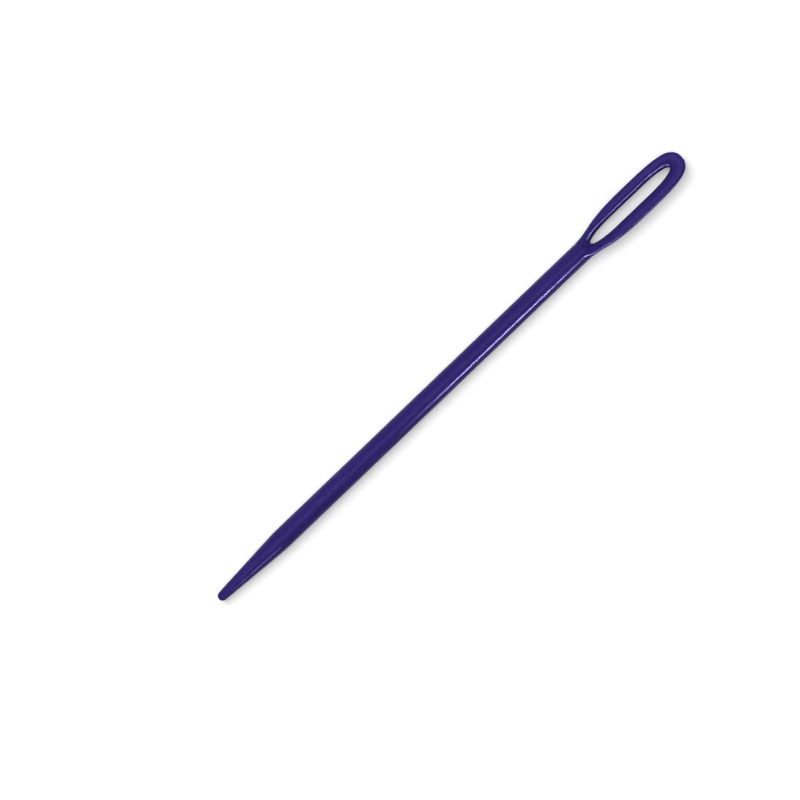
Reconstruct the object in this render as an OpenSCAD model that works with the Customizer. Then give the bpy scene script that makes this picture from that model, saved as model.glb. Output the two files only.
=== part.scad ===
// Blunt plastic yarn needle, moulded in one piece: a tapered point, a round shaft and a long eye.
// X runs from the tip to the eye, Z is up, and the needle lies on Z = 0, centred over the origin.
// The moulding is held as two solids that meet face to face where the straight shaft ends, so that
// the short solid with the slot through it stands alone.

/* [Overall] */
// Length from the tip to the end of the eye
length = 70; // [55:1:110]

/* [Shaft and point] */
// Diameter of the straight shaft
shaft_d = 2.3; // [1.8:0.1:3.2]
// Length of the tapered point
point_len = 9.2; // [5:0.1:16]
// Radius of the blunt tip
tip_r = 0.55; // [0.3:0.05:0.8]

/* [Eye] */
// Thickness of the eye across its flat faces
eye_thick = 1.9; // [1.6:0.1:3.2]
// Width of the slot that the yarn goes through
slot_w = 1.2; // [0.8:0.01:2.4]
// Length of the slot
slot_len = 11.9; // [9:0.1:20]
// Width of the eye's side on each side of the slot
leg_w = 1.4; // [1:0.01:2]
// Thickness of the eye's far end, past the slot
end_wall = 1.8; // [1.2:0.1:3]
// Length of solid neck between the slot and the straight shaft
neck_len = 1.6; // [1.2:0.1:5]

/* [Shape of the eye] */
// How far the eye's widest place lies from its far end
widest_at = 6.7; // [4:0.1:8]
// Squareness of the far end's curve, where 2 is a plain ellipse
bow_power = 3.2; // [2:0.1:4]
// Length over which the slot rounds off at its far end
slot_far_round = 3.3; // [0.8:0.1:4]
// Length over which the slot narrows towards the neck
slot_neck_round = 3.4; // [1:0.1:4.5]
// Length of the hollow curve that leads from the shaft into the eye
flare_len = 2.3; // [1:0.1:5]
// Length of neck over which the round shaft turns into the flat eye
neck_turn = 1.3; // [0.8:0.1:5]
// Radius of the eye's outer edges
edge_round = 0.36; // [0.1:0.01:0.5]
// Radius of the slot's edges, which the yarn runs over
slot_round = 0.72; // [0.2:0.01:0.8]
// Radius of the same edges where they run round the slot's neck end
slot_neck_edge = 0.95; // [0.2:0.01:1.1]
// Width of the flat left by the moulding gate on the eye's far end
gate_w = 0.8; // [0.2:0.1:1.6]

/* [Hidden] */
$fn = 96;

plastic = [0.204, 0.161, 0.424];
shaft_r = shaft_d / 2;
eye_half = slot_w / 2 + leg_w;
slot_half = slot_w / 2;
slot_far = end_wall;
slot_near = end_wall + slot_len;
eye_len = slot_near + neck_len;
mid_z = max(shaft_d, eye_thick) / 2;

// The far end is half an oval round bow_u, and the gate's flat cuts it short.
bow_u = widest_at * pow(1 - pow(gate_w / 2 / eye_half, bow_power), 1 / bow_power);

// From the widest place the outline falls as a cube to the shoulder, then as a square to the shaft.
shoulder = eye_len - flare_len;
fall_len = shoulder - widest_at;
fall_k = (eye_half - shaft_r) / (pow(fall_len, 3) + 1.5 * pow(fall_len, 2) * flare_len);
blend_u = slot_near - slot_neck_round;

// Steps of the eye's surface, round each half of the loop and across a leg
bow_steps = 12;
leg_steps = 8;
neck_steps = 20;
root_steps = 8;
cross_steps = 12;

// Places on the eye are [u, y]: u is the distance from the far end towards the tip.

// Half-width of the eye's outline at u
function outline(u) =
    u < bow_u ? eye_half * pow(max(0, 1 - pow((bow_u - u) / widest_at, bow_power)), 1 / bow_power) :
    u < shoulder ? eye_half - fall_k * pow(max(0, u - widest_at), 3) :
    shaft_r + 1.5 * fall_k * pow(fall_len * (eye_len - u), 2) / flare_len;

// Distance from an oval with half-axes a and b, for a point at [p, q] from its centre
function oval_gap(p, q, a, b, power) =
    let (
        along = pow(p / a, power - 1),
        across = pow(abs(q) / b, power - 1),
        m = pow(along * p / a + across * abs(q) / b, 1 / power)
    )
    abs(m - 1) * pow(m, power - 1) / norm([along / a, across / b]);

// How far a place lies inside the eye's outline
function outer_gap(u, y) =
    u < bow_u ? oval_gap(bow_u - u, y, widest_at, eye_half, bow_power) : outline(u) - abs(y);

// How far a place lies outside the slot
function slot_gap(u, y) =
    u < slot_far + slot_far_round ?
        oval_gap(slot_far + slot_far_round - u, y, slot_far_round, slot_half, 2) :
    u > blend_u ? oval_gap(u - blend_u, y, slot_neck_round, slot_half, 2) :
    abs(y) - slot_half;

// Share of the half-thickness that is left at distance d from an edge rounded by r
function edge_share(d, r, half) =
    d >= r ? 1 : (half - r + sqrt(max(0, r * r - pow(r - d, 2)))) / half;

// 0 before the start and 1 after the given length, with a smooth change between
function smooth_share(u, start, len) =
    let (s = min(1, max(0, (u - start) / len)))
    s * s * (3 - 2 * s);

// Height of the top face over the middle plane. The round share is 0 in the flat eye and 1 at the
// shaft, and the neck share is 1 round the slot's neck end alone.
function top_height(u, y) =
    let (
        round_share = smooth_share(u, eye_len - neck_turn, neck_turn),
        neck_share = smooth_share(u, blend_u, slot_neck_round) * (1 - round_share),
        half = eye_thick / 2 + (shaft_r - eye_thick / 2) * round_share,
        outer_r = min(edge_round + (half - edge_round) * round_share, half),
        inner_r = min(slot_round + (slot_neck_edge - slot_round) * neck_share, half)
    )
    half * edge_share(max(0, outer_gap(u, y)), outer_r, half)
        * edge_share(max(0, slot_gap(u, y)), inner_r, half);

// Lines across one half of the loop, each from the slot to the outline or to the shaft's end face
half_lines = concat(
    [for (i = [0 : bow_steps - 1]) let (a = 90 * i / bow_steps) [
        [slot_far + slot_far_round * (1 - cos(a)), slot_half * sin(a)],
        let (u = max(0, bow_u - widest_at * pow(cos(a), 2 / bow_power)))
            [u, i == 0 ? 0 : eye_half * pow(sin(a), 2 / bow_power)]
    ]],
    [for (i = [0 : leg_steps - 1]) let (t = i / leg_steps) [
        [(slot_far + slot_far_round) * (1 - t) + blend_u * t, slot_half],
        let (u = bow_u * (1 - t) + blend_u * t) [u, outline(u)]
    ]],
    [for (i = [0 : neck_steps + root_steps]) let (
        a = 90 * (1 - i / (neck_steps + root_steps)),
        u = blend_u + (eye_len - blend_u) * min(1, i / neck_steps),
        around = 90 * (1 - max(0, i - neck_steps) / root_steps)
    ) [
        [blend_u + slot_neck_round * cos(a), slot_half * sin(a)],
        [u, i < neck_steps ? outline(u) : shaft_r * sin(around)]
    ]]
);
last = len(half_lines) - 1;
lines = concat(half_lines, [for (i = [last - 1 : -1 : 1]) [
    for (end = half_lines[i]) [end.x, -end.y]
]]);

// The section over one line: along the top face outwards, then back along the bottom face
function section(line) =
    let (top = [for (j = [0 : cross_steps])
        let (
            v = (1 - cos(180 * j / cross_steps)) / 2,
            place = line[0] * (1 - v) + line[1] * v
        )
        [length / 2 - place.x, place.y, top_height(place.x, place.y)]])
    concat(top, [for (j = [cross_steps : -1 : 0]) [top[j].x, top[j].y, -top[j].z]]);

module eye() color(plastic) {
    sections = len(lines);
    around = 2 * (cross_steps + 1);
    points = [for (line = lines) each section(line)];
    triangles = [
        for (i = [0 : sections - 1], j = [0 : around - 1])
            let (
                a = i * around + j,
                b = i * around + (j + 1) % around,
                c = (i + 1) % sections * around + (j + 1) % around,
                d = (i + 1) % sections * around + j
            )
            each [[a, c, b], [a, d, c]]
    ];
    solid_triangles = [for (t = triangles)
        if (norm(cross(points[t[1]] - points[t[0]], points[t[2]] - points[t[0]])) > 1e-7) t];
    translate([0, 0, mid_z]) polyhedron(points, solid_triangles);
}

// The point and the straight shaft, turned about their axis
module shaft() color(plastic) {
    run = point_len - tip_r;
    taper = atan2(shaft_r, run) - asin(tip_r / norm([run, shaft_r]));
    arc_steps = 12;
    profile = concat(
        [for (i = [0 : arc_steps]) let (a = (90 - taper) * i / arc_steps)
            [tip_r * sin(a), tip_r * (1 - cos(a))]],
        [[shaft_r, point_len], [shaft_r, length - eye_len], [0, length - eye_len]]
    );
    translate([-length / 2, 0, mid_z])
        rotate([0, 90, 0])
        rotate_extrude()
        polygon(profile);
}

shaft();
eye();
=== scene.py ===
"""Blunt plastic yarn needle, moulded in one piece, lying on a white table.

X runs from the tip to the eye and Z is up. Lengths are in metres. The needle's skin is one surface, made by
one node tree from the sizes in the sidebar, and it stands for both solids of the frame.
"""

import math

import bmesh
import bpy
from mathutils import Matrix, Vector


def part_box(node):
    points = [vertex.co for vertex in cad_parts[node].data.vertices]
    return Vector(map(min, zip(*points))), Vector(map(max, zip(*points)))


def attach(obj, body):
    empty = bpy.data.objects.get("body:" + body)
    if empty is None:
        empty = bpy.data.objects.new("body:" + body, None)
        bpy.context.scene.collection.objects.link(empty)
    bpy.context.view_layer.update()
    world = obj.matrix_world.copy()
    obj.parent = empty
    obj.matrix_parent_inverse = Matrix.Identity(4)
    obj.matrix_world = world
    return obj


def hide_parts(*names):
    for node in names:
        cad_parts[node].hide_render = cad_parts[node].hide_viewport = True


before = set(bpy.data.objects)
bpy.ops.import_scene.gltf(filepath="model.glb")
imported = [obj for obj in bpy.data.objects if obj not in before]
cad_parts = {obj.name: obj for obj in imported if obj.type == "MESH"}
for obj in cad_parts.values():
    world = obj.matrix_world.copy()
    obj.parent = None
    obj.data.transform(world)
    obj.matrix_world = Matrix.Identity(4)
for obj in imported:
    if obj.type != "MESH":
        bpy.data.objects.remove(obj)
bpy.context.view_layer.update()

bl_info = {
    "name": "Yarn Needle",
    "version": (1, 0, 0),
    "blender": (4, 5, 0),
    "location": "3D View > Sidebar > Needle",
    "description": "Builds a moulded plastic yarn needle and the table it lies on",
    "category": "Add Mesh",
}

SHAFT_LOW, SHAFT_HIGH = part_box("shaft")
EYE_LOW, EYE_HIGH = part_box("eye")

# Steps of the skin round one half of the eye's loop: far end, side, neck, and shaft's end
LOOP_STEPS = (50, 30, 56, 36)
# Steps of one section through the loop: top, outer wall, bottom, slot's wall
SECTION_STEPS = (30, 28, 30, 16)
# Steps along the shaft: rounded tip, taper, straight part
SHAFT_STEPS = (14, 60, 110)
# Powers that crowd the steps where the skin turns most: round the shaft, at the far end, over a wall
SIDE_CROWD, END_CROWD, WALL_CROWD = 1.6, 1.5, 0.6
QUARTER = math.pi / 2
# How near each other points have to lie to be joined, on the shaft and where the two skins meet, and
# how far before the eye's root that second join starts
SHAFT_JOIN, SKIN_JOIN, ROOT_SLACK = 1e-7, 2e-6, 1e-5

# Share of the eye's half-width within which the far end's corners are rounded off
CORNER_REACH = 0.78
# The gate's stub: half its width as a share of Gate Width, its place to one side, and its soft edge
STUB_HALF, STUB_ASIDE, STUB_EDGE = 0.35, 0.00012, 0.00006
# The mould's seam rises from this far inside each end of the needle, over this length
SEAM_START, SEAM_RISE = 0.0003, 0.0015
# Scales of the seam's uneven height and of the slow ripple, and the seed of both
SEAM_SCALE, RIPPLE_SCALE, SKIN_SEED = 900.0, 220.0, 3.7

# Patterns in the plastic: scale, stretch along X, Y and Z, detail, and seed
FLOW = (2400.0, (0.09, 1.0, 1.0), 3.0, 0.0)
CLOUD = (260.0, (0.5, 1.0, 1.0), 2.0, 5.1)
GRAIN = (4600.0, (1.0, 1.0, 1.0), 2.0, 1.3)
SCUFFS = (5200.0, (0.05, 1.0, 1.0), 1.0, 9.4)
PATCHES = (420.0, (0.4, 1.0, 1.0), 1.0, 7.7)
GRAIN_DEPTH = 0.000004

# From the middle of the table to its edges
TABLE_REACH = 4.0
# Thin lamps beside the needle: name, place along it, length, and strength next to the first
THIN_LAMPS = (
    ("thin_lamp_shaft", 0.0079, 0.0200, 1.0),
    ("thin_lamp_eye", 0.0296, 0.0076, 0.6),
    ("thin_lamp_low", 0.0265, 0.0160, 0.14),
    ("thin_lamp_point", -0.0365, 0.0080, 0.24),
)
# Distance of the thin lamps from the needle's middle line, their depth, and the first one's length
THIN_AWAY, THIN_DEPTH, THIN_LENGTH = 0.045, 0.007, 0.02
# Height of the soft panel over the needle, and its size along and across it
PANEL_HEIGHT, PANEL_WIDE, PANEL_DEEP = 0.5, 0.62, 0.26


def length(name, description, default):
    """A length that a user can change, in metres."""
    return bpy.props.FloatProperty(
        name=name, description=description, default=default, min=0.0, precision=5, step=0.01,
        subtype="DISTANCE", unit="LENGTH")


def amount(name, description, default, low=0.0, high=1.0, subtype="FACTOR"):
    """A share or a strength that a user can change."""
    return bpy.props.FloatProperty(
        name=name, description=description, default=default, min=low, max=high, subtype=subtype)


def colour(name, description, default):
    """A colour that a user can change."""
    return bpy.props.FloatVectorProperty(
        name=name, description=description, default=default, size=3, min=0.0, max=1.0, subtype="COLOR")


class NeedleSizes(bpy.types.PropertyGroup):
    """Sizes of the needle; each is an input of the node tree under the same name."""
    full_length: length("Length", "From the tip to the end of the eye", EYE_HIGH.x - SHAFT_LOW.x)
    shaft_d: length("Shaft Diameter", "Across the straight shaft", SHAFT_HIGH.z - SHAFT_LOW.z)
    point_len: length("Point Length", "Length of the tapered point", 0.0092)
    tip_r: length("Tip Radius", "Radius of the blunt tip", 0.00055)
    point_blend: length("Point Blend", "How softly the taper turns into the shaft", 0.00005)
    eye_len: length("Eye Length", "From the end of the straight shaft to the far end", EYE_HIGH.x - EYE_LOW.x)
    eye_w: length("Eye Width", "Across the eye at its widest place", EYE_HIGH.y - EYE_LOW.y)
    eye_thick: length("Eye Thickness", "Between the eye's flat faces", 0.0019)
    slot_w: length("Slot Width", "Width of the slot that the yarn goes through", 0.0012)
    slot_len: length("Slot Length", "Length of the slot", 0.0119)
    end_wall: length("End Wall", "Thickness of the eye's far end, past the slot", 0.0018)
    widest_at: length("Widest At", "From the far end to the eye's widest place", 0.0067)
    bow_power: amount(
        "Bow Power", "Squareness of the far end's curve; 2 is a plain ellipse", 3.2, 2, 6, "NONE")
    end_round: length("End Round", "How much more the far end's corners are rounded off", 0.00011)
    slot_far_round: length("Slot Far Round", "Length over which the slot rounds off at its far end", 0.0033)
    slot_neck_round: length("Slot Neck Round", "Length over which the slot narrows to the neck", 0.0034)
    flare_len: length("Flare Length", "Length of the hollow curve from the shaft to the eye", 0.0023)
    neck_turn: length("Neck Turn", "Length over which the round shaft turns into the flat eye", 0.0013)
    edge_round: length("Edge Round", "Radius of the eye's outer edges", 0.00036)
    slot_round: length("Slot Edge Round", "Radius of the slot's edges", 0.00072)
    slot_neck_edge: length("Slot Neck Edge", "Radius of the same edges round the slot's neck end", 0.00095)
    gate_w: length("Gate Width", "Width of the stub left where the moulding was cut from its feed", 0.0008)
    gate_h: length("Gate Height", "Height of the same stub", 0.0009)
    gate_stub: length("Gate Stub", "How far the stub stands out", 0.00005)
    seam_w: length("Seam Width", "Width of the fine ridge where the mould's halves meet", 0.00012)
    seam_h: length("Seam Height", "Height of that ridge", 0.00002)
    ripple: length("Ripple", "Depth of the slow ripple that cooling leaves on the skin", 0.000008)


class NeedleFinish(bpy.types.PropertyGroup):
    """Colour and gloss of the moulded plastic."""
    body: colour("Body", "Colour of the plastic", (0.0236, 0.0135, 0.126))
    streak: colour("Streak", "Colour of the faint flow lines in it", (0.0375, 0.0225, 0.172))
    sheen: colour("Sheen", "Tint of the light that the skin sends back", (0.44, 0.37, 1.0))
    roughness: amount("Roughness", "How dull the skin is", 0.21)
    shine: amount("Shine", "How much light the skin sends back", 0.08)
    grain: amount("Grain", "Depth of the fine grain and the handling marks", 0.3)


class TableLook(bpy.types.PropertyGroup):
    """Table, light and camera."""
    floor: colour("Floor", "Colour of the table", (0.85, 0.85, 0.835))
    floor_glow: amount("Floor Glow", "White that the camera sees on the table besides its lit colour", 0.27)
    key: amount("Key", "Share of the light that comes from the key lamp", 0.44)
    key_tilt: amount(
        "Key Tilt", "Angle of the lamp from straight above", math.radians(29), 0, QUARTER, "ANGLE")
    key_turn: amount("Key Turn", "Direction of the lamp round the table", math.radians(99), 0, 6.3, "ANGLE")
    key_spread: amount(
        "Key Spread", "How wide the lamp looks from the table", math.radians(36), 0, 3.1, "ANGLE")
    overhead: amount("Overhead", "Share of the light that falls straight down", 0.25)
    horizon: amount("Horizon", "Brightness of the room behind the table's edge", 1.0, 0, 2, "NONE")
    low_sky: amount("Low Sky", "Brightness of the room's walls", 0.06, 0, 2, "NONE")
    high_sky: amount("High Sky", "Brightness of the room where its walls end", 0.14, 0, 2, "NONE")
    zenith: amount("Zenith", "Brightness of the room overhead", 0.6, 0, 2, "NONE")
    panel: amount("Panel", "Brightness of the soft panel that the gloss shows overhead", 3.6, 0, 20, "NONE")
    strip_tilt: amount(
        "Strip Tilt", "Angle of the thin lamps from straight above", math.radians(64), 0, 3, "ANGLE")
    strip_power: amount("Strip Power", "Strength of the first thin lamp, in watts", 0.120, 0, 10, "NONE")
    distance: length("Camera Distance", "From the camera down to the needle", 0.8)
    view_width: length("View Width", "Width of what the camera sees", 0.08747)
    view_turn: amount("View Turn", "Slope of the needle in the picture", math.radians(43.76), 0, 6.3, "ANGLE")
    aim_x: amount(
        "Aim X", "Where the middle of the picture lies along the needle", -0.00563, -1, 1, "DISTANCE")
    aim_y: amount("Aim Y", "Where the middle of the picture lies across it", 0.00205, -1, 1, "DISTANCE")


class Term:
    """A number in a node tree, kept as the socket that gives it, so that a shape is written as a sum."""

    def __init__(self, tree, socket):
        self.tree, self.socket = tree, socket

    def math(self, operation, *others, clamp=False):
        node = place_node(self.tree, "ShaderNodeMath", {"operation": operation, "use_clamp": clamp})
        for socket, value in zip(node.inputs, (self, *others)):
            feed(self.tree, socket, value)
        return Term(self.tree, node.outputs[0])

    def __add__(self, other):
        return self.math("ADD", other)

    def __mul__(self, other):
        return self.math("MULTIPLY", other)

    def __sub__(self, other):
        return self.math("SUBTRACT", other)

    def __truediv__(self, other):
        return self.math("DIVIDE", other)

    def __pow__(self, other):
        return self.math("POWER", other)

    def __mod__(self, other):
        return self.math("MODULO", other)

    def __lt__(self, other):
        return self.math("LESS_THAN", other)

    def __gt__(self, other):
        return self.math("GREATER_THAN", other)

    def __rsub__(self, other):
        return (self - other) * -1.0

    def __rtruediv__(self, other):
        return (self ** -1.0) * other

    def __abs__(self):
        return self.math("ABSOLUTE")

    __radd__, __rmul__ = __add__, __mul__


def place_node(tree, kind, settings=None):
    """Adds a node to the tree, in rows so that the tree can be read."""
    node = tree.nodes.new(kind)
    count = len(tree.nodes)
    node.location = (count % 16 * 190, -(count // 16) * 210)
    for name, value in (settings or {}).items():
        setattr(node, name, value)
    return node


def feed(tree, socket, value):
    """Joins a value to a socket, or sets the socket where the value is a plain one."""
    if isinstance(value, Term):
        value = value.socket
    if isinstance(value, bpy.types.NodeSocket):
        tree.links.new(value, socket)
    else:
        socket.default_value = value


def add(tree, kind, inputs=None, settings=None):
    """Adds a node with its inputs joined or set by name."""
    node = place_node(tree, kind, settings)
    for name, value in (inputs or {}).items():
        feed(tree, node.inputs[name], value)
    return node


def square_root(value):
    """The square root, or 0 where the value is below it."""
    return value.math("MAXIMUM", 0.0).math("SQRT")


def least(a, b):
    return a.math("MINIMUM", b)


def most(a, b):
    return a.math("MAXIMUM", b)


def sine(angle):
    return angle.math("SINE")


def cosine(angle):
    return angle.math("COSINE")


def share(value, start, width):
    """How far a value has come through a stretch, from 0 before it to 1 after it."""
    return (value - start).math("DIVIDE", width, clamp=True)


def smooth(value):
    """Softens both ends of a share."""
    return value * value * (3.0 - value * 2.0)


def choose(test, yes, no):
    """One value where the test holds and the other elsewhere."""
    return no + (yes - no) * test


def oval_gap(p, q, a, b, power):
    """Distance from an oval with half-axes a and b, for a point at (p, q) from its centre."""
    along = (p / a) ** (power - 1.0)
    across = (abs(q) / b) ** (power - 1.0)
    reach = (along * p / a + across * abs(q) / b) ** (1.0 / power)
    return abs(reach - 1.0) * reach ** (power - 1.0) / square_root((along / a) ** 2.0 + (across / b) ** 2.0)


class NeedleShape:
    """The needle's shape as sums of the tree's inputs. Along the eye, u counts from its far end."""

    def __init__(self, tree, group_in):
        self.tree = tree
        for key, name in input_names().items():
            setattr(self, key, Term(tree, group_in.outputs[name]))
        self.shaft_r = self.shaft_d * 0.5
        self.slot_half = self.slot_w * 0.5
        self.eye_half = self.eye_w * 0.5 - self.seam_h
        self.mid_z = most(self.shaft_d, self.eye_thick) * 0.5
        self.root_x = self.full_length * 0.5 - self.eye_len
        cut = (1.0 - (self.gate_w / self.eye_w) ** self.bow_power) ** (1.0 / self.bow_power)
        self.bow_u = self.widest_at * cut
        self.slot_bow_u = self.end_wall + self.slot_far_round
        self.blend_u = self.end_wall + self.slot_len - self.slot_neck_round
        self.shoulder = self.eye_len - self.flare_len
        self.fall_len = self.shoulder - self.widest_at
        self.fall = (self.eye_half - self.shaft_r) / (
            self.fall_len ** 3.0 + self.fall_len ** 2.0 * self.flare_len * 1.5)

    def body_half(self, u):
        """Half-width of the eye at u, before its far end is rounded off."""
        side = self.eye_half - self.fall * most(u - self.widest_at, 0.0) ** 3.0
        flare = self.shaft_r + self.fall * (self.fall_len * (self.eye_len - u)) ** 2.0 / self.flare_len * 1.5
        return choose(u < self.shoulder, side, flare)

    def corner(self, u, y):
        """How far the far end lies back at y from its oval, which is most near its two corners."""
        part = least(abs(y) / (self.eye_half * CORNER_REACH), 1.0) ** 2.0
        return part * (1.0 - part) * 4.0 * self.end_round * (u < self.bow_u)

    def top_height(self, u, y):
        """Height of the eye's top face over the middle plane."""
        bow = most(self.bow_u - u + self.corner(u, y), 0.0)
        outer = oval_gap(bow, y, self.widest_at, self.body_half(u), self.bow_power)
        past = u - self.blend_u
        before = self.slot_bow_u - u
        slot_reach = choose(past > 0.0, self.slot_neck_round, self.slot_far_round)
        inner = oval_gap(most(most(past, before), 0.0), y, slot_reach, self.slot_half, 2.0)
        turn = smooth(share(u, self.eye_len - self.neck_turn, self.neck_turn))
        neck = smooth(share(u, self.blend_u, self.slot_neck_round)) * (1.0 - turn)
        half = self.eye_thick * 0.5 + (self.shaft_r - self.eye_thick * 0.5) * turn
        outer_r = least(self.edge_round + (half - self.edge_round) * turn, half)
        inner_r = least(self.slot_round + (self.slot_neck_edge - self.slot_round) * neck, half)

        def left(gap, radius):
            inward = radius - least(gap, radius)
            return (half - radius + square_root(radius * radius - inward * inward)) / half
        return half * left(outer, outer_r) * left(inner, inner_r)


def input_names():
    """The tree's inputs: the key of each size and the name that the user sees."""
    return {key: NeedleSizes.bl_rna.properties[key].name for key in NeedleSizes.__annotations__}


def point_place(tree):
    """The place of each point of a mesh, then its X, Y and Z."""
    place = place_node(tree, "GeometryNodeInputPosition").outputs[0]
    split = add(tree, "ShaderNodeSeparateXYZ", {"Vector": place})
    return (place, *(Term(tree, output) for output in split.outputs))


def grid(tree, rows, columns):
    """A flat grid for a surface to be laid on, with how far along each of its ways a point lies."""
    node = add(tree, "GeometryNodeMeshGrid", {
        "Size X": 1.0, "Size Y": 1.0, "Vertices X": rows + 1, "Vertices Y": columns + 1})
    _, x, y, _ = point_place(tree)
    return node.outputs["Mesh"], x + 0.5, y + 0.5


def lay(tree, mesh, x, y, z):
    """Moves the grid's points to their places."""
    place = add(tree, "ShaderNodeCombineXYZ", {"X": x, "Y": y, "Z": z})
    return add(tree, "GeometryNodeSetPosition", {"Geometry": mesh, "Position": place.outputs[0]}).outputs[0]


def eye_skin(shape):
    """The eye: sections across the loop, each running over the top, down the outer wall and back."""
    tree = shape.tree
    bow_n, leg_n, neck_n, root_n = LOOP_STEPS
    top_n, wall_n, _, slot_n = SECTION_STEPS
    mesh, along, around = grid(tree, 2 * sum(LOOP_STEPS), sum(SECTION_STEPS))
    step = (1.0 - abs(along * 2.0 - 1.0)) * sum(LOOP_STEPS)
    side = choose(along < 0.5, 1.0, -1.0)
    count = around * sum(SECTION_STEPS)

    # The outer wall is left out over the shaft's end, where the two skins join.
    hidden = (step > bow_n + leg_n + neck_n) * (count > top_n) * (count < top_n + wall_n)
    mesh = add(tree, "GeometryNodeDeleteGeometry", {"Geometry": mesh, "Selection": hidden},
               {"domain": "FACE"}).outputs[0]

    bow = share(step, 0.0, bow_n) ** END_CROWD * QUARTER
    leg = share(step, bow_n, leg_n)
    neck = share(step, bow_n + leg_n, neck_n)
    root = share(step, bow_n + leg_n + neck_n, root_n) ** SIDE_CROWD * QUARTER
    fan = (1.0 - share(step, bow_n + leg_n, neck_n + root_n)) * QUARTER

    inner_u = (shape.end_wall + shape.slot_far_round * (1.0 - cosine(bow))
               + leg * (shape.blend_u - shape.slot_bow_u) + shape.slot_neck_round * cosine(fan))
    inner_y = shape.slot_half * sine(bow) * sine(fan)
    bulge = 2.0 / shape.bow_power
    outer_u = (shape.bow_u - shape.widest_at * most(cosine(bow), 0.0) ** bulge
               + leg * (shape.blend_u - shape.bow_u) + neck * (shape.eye_len - shape.blend_u))
    outer_y = shape.body_half(outer_u) * sine(bow) ** bulge * cosine(root)
    outer_u = most(outer_u + shape.corner(outer_u, outer_y), shape.gate_stub)

    top, wall, under, slot = (share(count, start, width) for start, width in (
        (0.0, top_n), (top_n, wall_n), (top_n + wall_n, top_n), (2 * top_n + wall_n, slot_n)))
    outward = (cosine(under * math.pi) - cosine(top * math.pi)) * 0.5

    def turn_over(part):
        level = 1.0 - part * 2.0
        return 1.0 - level * abs(level) ** WALL_CROWD
    level = 1.0 - turn_over(wall) + turn_over(slot)
    u = inner_u + (outer_u - inner_u) * outward
    y = (inner_y + (outer_y - inner_y) * outward) * side
    height = level * shape.top_height(u, y)
    return lay(tree, mesh, shape.full_length * 0.5 - u + gate_stub(shape, outward, y, height, step), y,
               shape.mid_z + height)


def gate_stub(shape, outward, y, height, step):
    """The low stub at the far end, a little to one side of the middle, with soft torn edges."""
    across = share(shape.gate_w * STUB_HALF - abs(y - STUB_ASIDE), 0.0, STUB_EDGE)
    upward = share(shape.gate_h * 0.5 - abs(height), 0.0, STUB_EDGE)
    on_wall = (outward > 0.999) * (step < LOOP_STEPS[0])
    return smooth(across) * smooth(upward) * on_wall * shape.gate_stub


def shaft_skin(shape):
    """The point and the straight shaft, with as many points round it as the eye's skin has there."""
    tree = shape.tree
    tip_n, taper_n, straight_n = SHAFT_STEPS
    mesh, along, around = grid(tree, sum(SHAFT_STEPS), 4 * LOOP_STEPS[3])
    step = along * sum(SHAFT_STEPS)
    tip, taper, straight = (share(step, start, width) for start, width in (
        (0.0, tip_n), (tip_n, taper_n), (tip_n + taper_n, straight_n)))

    run = shape.point_len - shape.tip_r
    slope = shape.shaft_r.math("ARCTAN2", run) - (
        shape.tip_r / square_root(run * run + shape.shaft_r * shape.shaft_r)).math("ARCSINE")
    cap = (QUARTER - slope) * tip
    in_cap = shape.tip_r * (1.0 - cosine(cap))
    cap_end = shape.tip_r * (1.0 - sine(slope))
    body_len = shape.full_length - shape.eye_len
    from_tip = in_cap + taper * (shape.point_len - cap_end) + straight * (body_len - shape.point_len)
    cone = shape.tip_r * sine(cap) + (from_tip - in_cap) * slope.math("TANGENT")
    radius = cone.math("SMOOTH_MIN", shape.shaft_r, shape.point_blend)

    quarter = around * 4.0
    angle = abs(quarter % 2.0 - 1.0) ** SIDE_CROWD * QUARTER
    side = 1.0 - (around > 0.5) * 2.0
    up = 1.0 - (abs(around - 0.5) < 0.25) * 2.0
    return lay(tree, mesh, from_tip - shape.full_length * 0.5, radius * cosine(angle) * side,
               shape.mid_z + radius * sine(angle) * up)


def merged(tree, mesh, distance, chosen=True):
    """Joins points that lie within the distance of each other."""
    return add(tree, "GeometryNodeMergeByDistance", {
        "Geometry": mesh, "Distance": distance, "Selection": chosen}).outputs[0]


def moulded_skin(shape, mesh):
    """Adds what the mould leaves: the fine seam round the middle plane and a slow ripple."""
    tree = shape.tree
    place, x, _, z = point_place(tree)

    def noise(scale):
        node = add(tree, "ShaderNodeTexNoise", {
            "Vector": place, "W": SKIN_SEED, "Scale": scale, "Detail": 1.0}, {"noise_dimensions": "4D"})
        return Term(tree, node.outputs[0])

    seam = smooth(1.0 - share(abs(z - shape.mid_z), 0.0, shape.seam_w * 0.5))
    ends = smooth(share(shape.full_length * 0.5 - abs(x), SEAM_START, SEAM_RISE))
    out = seam * ends * noise(SEAM_SCALE) * shape.seam_h - noise(RIPPLE_SCALE) * shape.ripple
    shift = add(tree, "ShaderNodeVectorMath", {"Scale": out}, {"operation": "SCALE"})
    feed(tree, shift.inputs[0], place_node(tree, "GeometryNodeInputNormal").outputs[0])
    return add(tree, "GeometryNodeSetPosition", {"Geometry": mesh, "Offset": shift.outputs[0]}).outputs[0]


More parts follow.
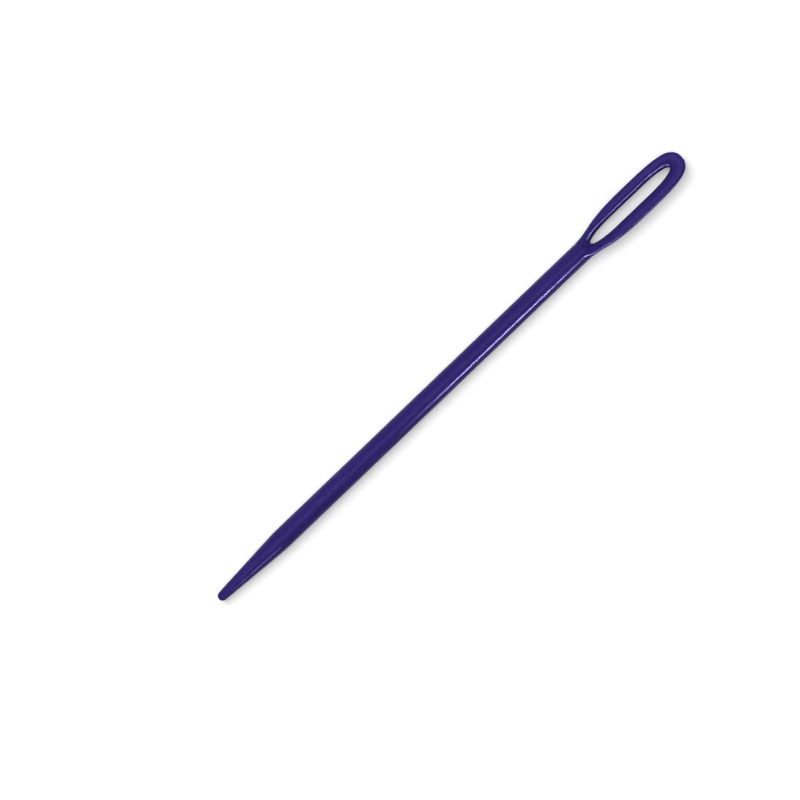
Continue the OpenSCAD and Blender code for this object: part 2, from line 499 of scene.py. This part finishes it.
def needle_tree():
    """The node tree that makes the needle's skin from its sizes."""
    tree = bpy.data.node_groups.new("Needle Shape", "GeometryNodeTree")
    tree.interface.new_socket(name="Geometry", in_out="OUTPUT", socket_type="NodeSocketGeometry")
    for key, name in input_names().items():
        size = NeedleSizes.bl_rna.properties[key]
        socket = tree.interface.new_socket(name=name, in_out="INPUT", socket_type="NodeSocketFloat")
        socket.subtype = "DISTANCE" if size.unit == "LENGTH" else "NONE"
        socket.min_value, socket.default_value = size.hard_min, size.default
    tree.interface.new_socket(name="Plastic", in_out="INPUT", socket_type="NodeSocketMaterial")
    group_in = place_node(tree, "NodeGroupInput")
    shape = NeedleShape(tree, group_in)

    shaft = merged(tree, shaft_skin(shape), SHAFT_JOIN)
    join = place_node(tree, "GeometryNodeJoinGeometry")
    for skin in (shaft, add(tree, "GeometryNodeFlipFaces", {"Mesh": eye_skin(shape)}).outputs[0]):
        tree.links.new(skin, join.inputs[0])
    _, x, _, _ = point_place(tree)
    skin = merged(tree, join.outputs[0], SKIN_JOIN, x > shape.root_x - ROOT_SLACK)
    skin = moulded_skin(shape, skin)
    skin = add(tree, "GeometryNodeSetShadeSmooth", {"Geometry": skin, "Shade Smooth": True}).outputs[0]
    skin = add(tree, "GeometryNodeRealizeInstances", {"Geometry": skin}).outputs[0]
    skin = add(tree, "GeometryNodeSetMaterial", {
        "Geometry": skin, "Material": group_in.outputs["Plastic"]}).outputs[0]
    tree.links.new(skin, place_node(tree, "NodeGroupOutput").inputs[0])
    return tree


def moulded_plastic(finish):
    """Glossy dyed plastic: faint flow lines along the needle, fine grain, and marks of handling."""
    material = bpy.data.materials.new("violet_moulded_plastic")
    material.use_nodes = True
    tree = material.node_tree
    tree.nodes.clear()
    place = place_node(tree, "ShaderNodeTexCoord").outputs["Object"]

    def noise(scale, stretch, detail, seed):
        mapped = add(tree, "ShaderNodeMapping", {"Vector": place, "Scale": stretch})
        node = add(tree, "ShaderNodeTexNoise", {
            "Vector": mapped.outputs[0], "W": seed, "Scale": scale, "Detail": detail},
            {"noise_dimensions": "4D"})
        return Term(tree, node.outputs[0])

    flow, cloud, grain, scuffs, patches = (
        noise(*pattern) for pattern in (FLOW, CLOUD, GRAIN, SCUFFS, PATCHES))
    tone = share(flow * 0.3 + cloud * 0.15 + grain * 0.55, 0.38, 0.24)
    # Inputs 6 and 7 of the mix are its two colours, and output 2 is the colour between them.
    body = add(tree, "ShaderNodeMix", {"Factor": tone}, {"data_type": "RGBA"})
    body.inputs[6].default_value = (*finish.body, 1.0)
    body.inputs[7].default_value = (*finish.streak, 1.0)

    handled = share(scuffs, 0.62, 0.1) * share(patches, 0.45, 0.2)
    roughness = (flow - 0.5) * 0.08 + (grain - 0.5) * 0.05 + handled * 0.14 + finish.roughness
    height = flow * 0.5 + grain * 0.25 - handled * 0.5
    bump = add(tree, "ShaderNodeBump", {
        "Strength": finish.grain, "Distance": GRAIN_DEPTH, "Height": height})

    shader = add(tree, "ShaderNodeBsdfPrincipled", {
        "Base Color": body.outputs[2], "Roughness": roughness, "IOR": 1.5,
        "Specular IOR Level": finish.shine, "Specular Tint": (*finish.sheen, 1.0), "Normal": bump.outputs[0]})
    out = place_node(tree, "ShaderNodeOutputMaterial")
    tree.links.new(shader.outputs[0], out.inputs["Surface"])
    return material


def baked(piece):
    """Turns the piece's modifiers into a plain closed mesh with its faces outwards."""
    view = bpy.context.evaluated_depsgraph_get()
    mesh = bpy.data.meshes.new_from_object(piece.evaluated_get(view))
    piece.modifiers.clear()
    piece.data = mesh
    skin = bmesh.new()
    skin.from_mesh(mesh)
    bmesh.ops.recalc_face_normals(skin, faces=skin.faces)
    if not skin.faces or any(not edge.is_manifold for edge in skin.edges):
        raise RuntimeError(f"{piece.name} is not one closed skin; set its sizes back towards their defaults")
    skin.to_mesh(mesh)
    skin.free()


class NEEDLE_OT_build_needle(bpy.types.Operator):
    """Build the needle's skin, with its plastic, from the sizes in the sidebar"""
    bl_idname = "needle.build_needle"
    bl_label = "Build Needle"
    bl_options = {"REGISTER", "UNDO"}

    def execute(self, context):
        sizes = context.scene.needle_sizes
        needle = bpy.data.objects.new("needle", bpy.data.meshes.new("needle"))
        context.collection.objects.link(needle)
        tree = needle_tree()
        modifier = needle.modifiers.new("Needle Shape", "NODES")
        modifier.node_group = tree
        values = {name: getattr(sizes, key) for key, name in input_names().items()}
        values["Plastic"] = moulded_plastic(context.scene.needle_finish)
        for item in tree.interface.items_tree:
            if item.in_out == "INPUT":
                modifier[item.identifier] = values[item.name]
        baked(needle)
        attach(needle, "root")
        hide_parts("shaft", "eye")
        return {"FINISHED"}


def towards(tilt, turn):
    """The direction that leans by tilt from straight up, turned round Z from +X."""
    return Vector((math.sin(tilt) * math.cos(turn), math.sin(tilt) * math.sin(turn), math.cos(tilt)))


def table_material(look):
    """Matt white table that keeps the needle's shadow and looks white to the camera."""
    material = bpy.data.materials.new("white_table")
    material.use_nodes = True
    tree = material.node_tree
    tree.nodes.clear()
    paint = add(tree, "ShaderNodeBsdfDiffuse", {"Color": (*look.floor, 1.0)})
    rays = place_node(tree, "ShaderNodeLightPath")
    seen = Term(tree, rays.outputs["Is Camera Ray"])
    for name in ("Is Glossy Ray", "Is Transmission Ray"):
        seen = most(seen, rays.outputs[name])
    glow = add(tree, "ShaderNodeEmission", {"Strength": seen * look.floor_glow})
    both = place_node(tree, "ShaderNodeAddShader")
    for socket, shader in zip(both.inputs, (paint, glow)):
        tree.links.new(shader.outputs[0], socket)
    tree.links.new(both.outputs[0], place_node(tree, "ShaderNodeOutputMaterial").inputs["Surface"])
    return material


def room(look):
    """Pale room light: white behind the table, dim walls, and brighter overhead."""
    world = bpy.data.worlds.new("pale_room")
    bpy.context.scene.world = world
    world.use_nodes = True
    tree = world.node_tree
    tree.nodes.clear()
    way = place_node(tree, "ShaderNodeTexCoord").outputs["Generated"]
    split = add(tree, "ShaderNodeSeparateXYZ", {"Vector": way})
    ramp = add(tree, "ShaderNodeValToRGB", {"Fac": split.outputs["Z"]})
    stops = ramp.color_ramp.elements
    levels = ((0.04, look.horizon), (0.12, look.low_sky), (0.75, look.high_sky), (1.0, look.zenith))
    for height, _ in levels[1:-1]:
        stops.new(height)
    for stop, (height, level) in zip(stops, levels):
        stop.position, stop.color = height, (level, level, level, 1.0)
    light = add(tree, "ShaderNodeBackground", {
        "Color": (1.0, 1.0, 1.0, 1.0), "Strength": ramp.outputs[0]})
    tree.links.new(light.outputs[0], place_node(tree, "ShaderNodeOutputWorld").inputs["Surface"])


def lamp(name, kind, place, **settings):
    """A lamp that shines on the needle and can't be seen itself."""
    data = bpy.data.lights.new(name, kind)
    for key, value in settings.items():
        setattr(data, key, value)
    item = bpy.data.objects.new(name, data)
    bpy.context.collection.objects.link(item)
    item.location = place
    item.visible_camera = False
    return item


def soft_lamps(look):
    """The key lamp and the overhead one, which light the needle and the table."""
    for name, level, tilt in (
            ("soft_key", look.key, look.key_tilt), ("soft_overhead", look.overhead, 0.0)):
        way = towards(tilt, look.key_turn)
        sun = lamp(name, "SUN", way, energy=level * math.pi / math.cos(tilt), angle=look.key_spread)
        sun.rotation_euler = way.to_track_quat("Z", "Y").to_euler()
        sun.visible_glossy = False


def mirrored_lamps(look, middle):
    """Thin lamps low beside the needle and a panel over it; only their mirror images are seen."""
    way = towards(look.strip_tilt, -QUARTER) * THIN_AWAY
    items = [lamp(name, "AREA", middle + Vector((at, 0, 0)) + way, shape="RECTANGLE", size=reach,
                  size_y=THIN_DEPTH, energy=look.strip_power * level * reach / THIN_LENGTH)
             for name, at, reach, level in THIN_LAMPS]
    for strip in items:
        strip.rotation_euler = (look.strip_tilt, 0.0, 0.0)
    items.append(lamp("soft_panel", "AREA", middle + Vector((0.0, 0.0, PANEL_HEIGHT)), shape="RECTANGLE",
                      size=PANEL_WIDE, size_y=PANEL_DEEP,
                      energy=look.panel * math.pi * PANEL_WIDE * PANEL_DEEP))
    for item in items:
        item.visible_diffuse = False
        item.visible_transmission = False


def camera_above(look, middle):
    """The camera, straight over the table and turned to the needle's slope in the picture."""
    lens = bpy.data.cameras.new("view_from_above")
    lens.sensor_width = 36.0
    lens.lens = lens.sensor_width * look.distance / look.view_width
    lens.clip_start, lens.clip_end = 0.01, 50.0
    camera = bpy.data.objects.new("view_from_above", lens)
    bpy.context.collection.objects.link(camera)
    camera.location = (look.aim_x, look.aim_y, middle.z + look.distance)
    camera.rotation_euler = (0.0, 0.0, -look.view_turn)
    bpy.context.scene.camera = camera


class NEEDLE_OT_build_table(bpy.types.Operator):
    """Lay the white table under the needle, light it and set the camera over it"""
    bl_idname = "needle.build_table"
    bl_label = "Build Table, Light and Camera"
    bl_options = {"REGISTER", "UNDO"}

    def execute(self, context):
        look = context.scene.needle_table
        mesh = bpy.data.meshes.new("table_top")
        corners = ((-1, -1), (1, -1), (1, 1), (-1, 1))
        mesh.from_pydata([(x * TABLE_REACH, y * TABLE_REACH, 0) for x, y in corners], [], [(0, 1, 2, 3)])
        mesh.materials.append(table_material(look))
        table = bpy.data.objects.new("table_top", mesh)
        context.collection.objects.link(table)
        room(look)
        middle = Vector((0.0, 0.0, SHAFT_HIGH.z / 2))
        soft_lamps(look)
        mirrored_lamps(look, middle)
        camera_above(look, middle)
        context.scene.view_settings.view_transform = "Standard"
        return {"FINISHED"}


class NEEDLE_PT_panel(bpy.types.Panel):
    """Sizes, finish and stage of the needle, with the buttons that build them"""
    bl_idname = "NEEDLE_PT_panel"
    bl_label = "Yarn Needle"
    bl_space_type = "VIEW_3D"
    bl_region_type = "UI"
    bl_category = "Needle"

    def draw(self, context):
        for title, group, button in (
                ("Sizes", "needle_sizes", None),
                ("Plastic", "needle_finish", "needle.build_needle"),
                ("Table, light and camera", "needle_table", "needle.build_table")):
            box = self.layout.box()
            box.label(text=title)
            settings = getattr(context.scene, group)
            for key in type(settings).__annotations__:
                box.prop(settings, key)
            if button:
                box.operator(button)


GROUPS = {"needle_sizes": NeedleSizes, "needle_finish": NeedleFinish, "needle_table": TableLook}
CLASSES = (*GROUPS.values(), NEEDLE_OT_build_needle, NEEDLE_OT_build_table, NEEDLE_PT_panel)


def register():
    for cls in CLASSES:
        bpy.utils.register_class(cls)
    for name, group in GROUPS.items():
        setattr(bpy.types.Scene, name, bpy.props.PointerProperty(type=group))


def unregister():
    for name in GROUPS:
        delattr(bpy.types.Scene, name)
    for cls in reversed(CLASSES):
        bpy.utils.unregister_class(cls)


def main():
    """Registers the add-on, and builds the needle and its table."""
    register()
    bpy.ops.needle.build_needle()
    bpy.ops.needle.build_table()


if __name__ == "__main__":
    main()
